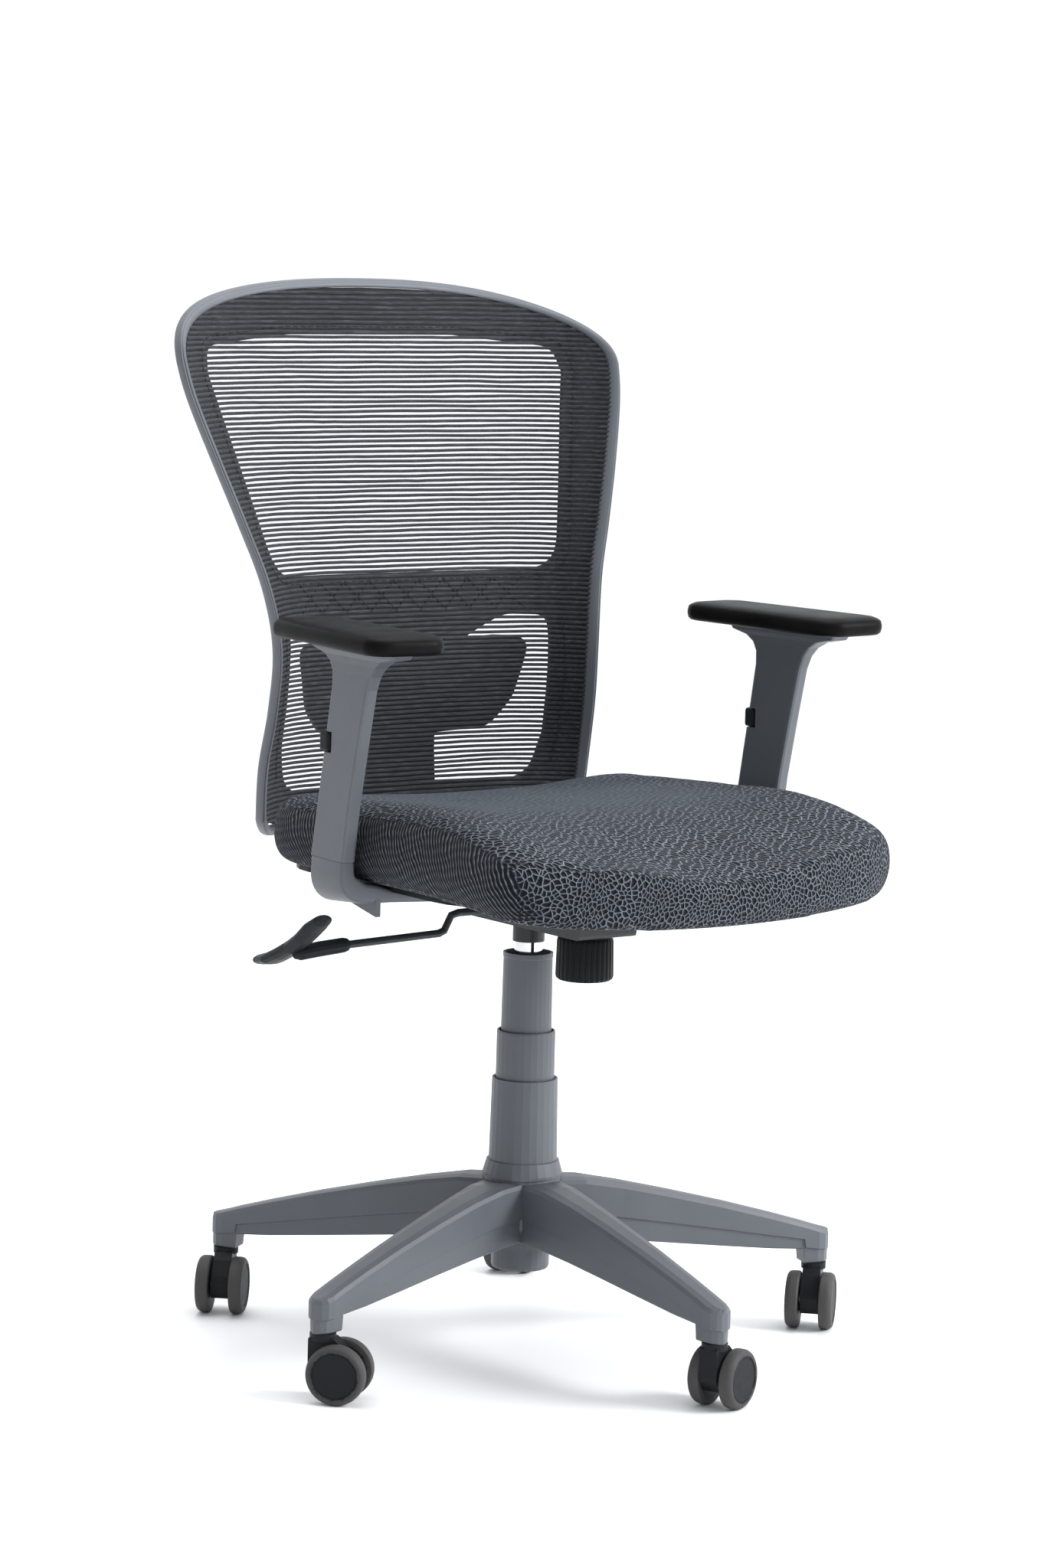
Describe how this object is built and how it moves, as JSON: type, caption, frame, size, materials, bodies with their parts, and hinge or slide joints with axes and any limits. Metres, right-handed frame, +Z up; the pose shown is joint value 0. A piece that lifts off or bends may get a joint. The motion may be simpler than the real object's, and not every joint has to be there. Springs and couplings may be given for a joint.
{
  "type": "swivel office chair",
  "caption": "Mesh-back swivel office chair with a fabric seat, height-adjustable T arms, tilt mechanism, gas lift and a star base on twin-wheel castors",
  "frame": {"origin": "centre of the chair's bounding box, on the floor", "axes": "+Z up, the chair faces -Y, +X is the sitter's left"},
  "size_m": [0.6352, 0.6665, 1.0297],
  "materials": {
    "grey_plastic": "fine-textured blue-grey nylon",
    "black_plastic": "black moulded plastic",
    "black_steel": "black powder coat",
    "zinc_steel": "zinc plated",
    "chrome": "chromed piston",
    "wheel_tread": "charcoal nylon, worn at the edges",
    "pad_foam": "self-skinned polyurethane foam",
    "seat_fabric": "coarse blue-grey and black knit",
    "back_net": "black ribbed net",
    "nylon": "natural nylon"
  },
  "bodies": {
    "base": {"base_star": "grey_plastic", "lift_tube": "black_steel", "lift_guide_bush": "nylon", "cover_lower": "grey_plastic"},
    "castor_front": {"castor_front_housing": "black_plastic", "castor_front_stem": "zinc_steel", "castor_front_axle": "zinc_steel"},
    "wheel_front_left": {"castor_front_wheel_left": "wheel_tread"},
    "wheel_front_right": {"castor_front_wheel_right": "wheel_tread"},
    "castor_front_left": {"castor_front_left_housing": "black_plastic", "castor_front_left_stem": "zinc_steel", "castor_front_left_axle": "zinc_steel"},
    "wheel_front_left_left": {"castor_front_left_wheel_left": "wheel_tread"},
    "wheel_front_left_right": {"castor_front_left_wheel_right": "wheel_tread"},
    "castor_rear_left": {"castor_rear_left_housing": "black_plastic", "castor_rear_left_stem": "zinc_steel", "castor_rear_left_axle": "zinc_steel"},
    "wheel_rear_left_left": {"castor_rear_left_wheel_left": "wheel_tread"},
    "wheel_rear_left_right": {"castor_rear_left_wheel_right": "wheel_tread"},
    "castor_rear_right": {"castor_rear_right_housing": "black_plastic", "castor_rear_right_stem": "zinc_steel", "castor_rear_right_axle": "zinc_steel"},
    "wheel_rear_right_left": {"castor_rear_right_wheel_left": "wheel_tread"},
    "wheel_rear_right_right": {"castor_rear_right_wheel_right": "wheel_tread"},
    "castor_front_right": {"castor_front_right_housing": "black_plastic", "castor_front_right_stem": "zinc_steel", "castor_front_right_axle": "zinc_steel"},
    "wheel_front_right_left": {"castor_front_right_wheel_left": "wheel_tread"},
    "wheel_front_right_right": {"castor_front_right_wheel_right": "wheel_tread"},
    "lift_spindle": {"lift_rod": "zinc_steel", "lift_thrust_bearing": "zinc_steel"},
    "mechanism": {"mechanism_housing": "black_steel", "lift_cylinder": "chrome", "cover_upper": "grey_plastic", "tension_spring": "zinc_steel"},
    "middle_cover": {"cover_middle": "grey_plastic"},
    "release_pin": {"lift_release_pin": "zinc_steel"},
    "knob": {"tension_knob": "black_plastic", "tension_bolt": "zinc_steel"},
    "lever_pivot": {"lever_bush": "nylon"},
    "lever": {"lever_rod": "black_steel", "lever_paddle": "black_plastic"},
    "seat": {"seat_plate": "black_steel", "tilt_axle": "zinc_steel", "seat_pan": "black_plastic", "seat_cushion": "seat_fabric", "back_spine": "black_steel", "back_outer_frame": "grey_plastic", "back_inner_frame": "black_plastic", "back_net": "back_net", "arm_left_bracket": "grey_plastic", "arm_left_post": "black_plastic", "arm_right_bracket": "grey_plastic", "arm_right_post": "black_plastic"},
    "arm_left": {"arm_left_upright": "grey_plastic", "arm_left_pad": "pad_foam"},
    "button_left": {"arm_left_button": "black_plastic"},
    "arm_right": {"arm_right_upright": "grey_plastic", "arm_right_pad": "pad_foam"},
    "button_right": {"arm_right_button": "black_plastic"}
  },
  "joints": [
    {"name": "castor_front_swivel", "type": "hinge", "parent": "base", "child": "castor_front", "pos_m": [0.0003, -0.3088, 0.0627], "axis": [0, 0, 1], "continuous": true},
    {"name": "wheel_front_left_roll", "type": "hinge", "parent": "castor_front", "child": "wheel_front_left", "pos_m": [0.01597, -0.30221, 0.0285], "axis": [-0.3875, 0.9219, 0], "continuous": true},
    {"name": "wheel_front_right_roll", "type": "hinge", "parent": "castor_front", "child": "wheel_front_right", "pos_m": [0.01597, -0.30221, 0.0285], "axis": [-0.3875, 0.9219, 0], "continuous": true},
    {"name": "castor_front_left_swivel", "type": "hinge", "parent": "base", "child": "castor_front_left", "pos_m": [0.29513, -0.0946, 0.0627], "axis": [0, 0, 1], "continuous": true},
    {"name": "wheel_front_left_left_roll", "type": "hinge", "parent": "castor_front_left", "child": "wheel_front_left_left", "pos_m": [0.2829, -0.1064, 0.0285], "axis": [0.6947, -0.7193, 0], "continuous": true},
    {"name": "wheel_front_left_right_roll", "type": "hinge", "parent": "castor_front_left", "child": "wheel_front_left_right", "pos_m": [0.2829, -0.1064, 0.0285], "axis": [0.6947, -0.7193, 0], "continuous": true},
    {"name": "castor_rear_left_swivel", "type": "hinge", "parent": "base", "child": "castor_rear_left", "pos_m": [0.18251, 0.252, 0.0627], "axis": [0, 0, 1], "continuous": true},
    {"name": "wheel_rear_left_left_roll", "type": "hinge", "parent": "castor_rear_left", "child": "wheel_rear_left_left", "pos_m": [0.16779, 0.2435, 0.0285], "axis": [0.5, -0.866, 0], "continuous": true},
    {"name": "wheel_rear_left_right_roll", "type": "hinge", "parent": "castor_rear_left", "child": "wheel_rear_left_right", "pos_m": [0.16779, 0.2435, 0.0285], "axis": [0.5, -0.866, 0], "continuous": true},
    {"name": "castor_rear_right_swivel", "type": "hinge", "parent": "base", "child": "castor_rear_right", "pos_m": [-0.18191, 0.252, 0.0627], "axis": [0, 0, 1], "continuous": true},
    {"name": "wheel_rear_right_left_roll", "type": "hinge", "parent": "castor_rear_right", "child": "wheel_rear_right_left", "pos_m": [-0.19355, 0.2396, 0.0285], "axis": [0.729, -0.6845, 0], "continuous": true},
    {"name": "wheel_rear_right_right_roll", "type": "hinge", "parent": "castor_rear_right", "child": "wheel_rear_right_right", "pos_m": [-0.19355, 0.2396, 0.0285], "axis": [0.729, -0.6845, 0], "continuous": true},
    {"name": "castor_front_right_swivel", "type": "hinge", "parent": "base", "child": "castor_front_right", "pos_m": [-0.29453, -0.0946, 0.0627], "axis": [0, 0, 1], "continuous": true},
    {"name": "wheel_front_right_left_roll", "type": "hinge", "parent": "castor_front_right", "child": "wheel_front_right_left", "pos_m": [-0.2832, -0.10727, 0.0285], "axis": [0.7455, 0.6665, 0], "continuous": true},
    {"name": "wheel_front_right_right_roll", "type": "hinge", "parent": "castor_front_right", "child": "wheel_front_right_right", "pos_m": [-0.2832, -0.10727, 0.0285], "axis": [0.7455, 0.6665, 0], "continuous": true},
    {"name": "seat_swivel", "type": "hinge", "parent": "base", "child": "lift_spindle", "pos_m": [0.0003, 0.0012, 0.1927], "axis": [0, 0, 1], "continuous": true},
    {"name": "height_slide", "type": "slide", "parent": "lift_spindle", "child": "mechanism", "axis": [0, 0, 1], "range_m": [-0.055, 0.04]},
    {"name": "middle_cover_slide", "type": "slide", "parent": "base", "child": "middle_cover", "axis": [0, 0, 1], "range_m": [-0.0275, 0.02]},
    {"name": "release_pin_slide", "type": "slide", "parent": "mechanism", "child": "release_pin", "axis": [0, 0, -1], "range_m": [0, 0.004]},
    {"name": "knob_turn", "type": "hinge", "parent": "mechanism", "child": "knob", "pos_m": [0.0003, -0.0908, 0.3927], "axis": [0, 0, 1], "continuous": true},
    {"name": "lever_lift", "type": "hinge", "parent": "mechanism", "child": "lever_pivot", "pos_m": [-0.0377, -0.0208, 0.4352], "axis": [0, 1, 0], "range_deg": [0, 5], "stiffness_Nm_per_rad": 4},
    {"name": "lever_pull", "type": "slide", "parent": "lever_pivot", "child": "lever", "axis": [-1, 0, 0], "range_m": [0, 0.01]},
    {"name": "back_tilt", "type": "hinge", "parent": "mechanism", "child": "seat", "pos_m": [0.0003, -0.0538, 0.4447], "axis": [-1, 0, 0], "range_deg": [0, 12], "stiffness_Nm_per_rad": 70, "springref_deg": -25.78},
    {"name": "arm_left_height", "type": "slide", "parent": "seat", "child": "arm_left", "axis": [0, -0.1752, 0.9845], "range_m": [0, 0.06]},
    {"name": "button_left_press", "type": "slide", "parent": "arm_left", "child": "button_left", "axis": [0, -1, 0], "range_m": [0, 0.003], "stiffness_N_per_m": 400, "springref_m": -0.002},
    {"name": "arm_right_height", "type": "slide", "parent": "seat", "child": "arm_right", "axis": [0, -0.1752, 0.9845], "range_m": [0, 0.06]},
    {"name": "button_right_press", "type": "slide", "parent": "arm_right", "child": "button_right", "axis": [0, -1, 0], "range_m": [0, 0.003], "stiffness_N_per_m": 400, "springref_m": -0.002}
  ],
  "couplings": [
    {"joint": "middle_cover_slide", "follows": "height_slide", "ratio": 0.5},
    {"joint": "release_pin_slide", "follows": "lever_lift", "m_per_rad": 0.039}
  ]
}
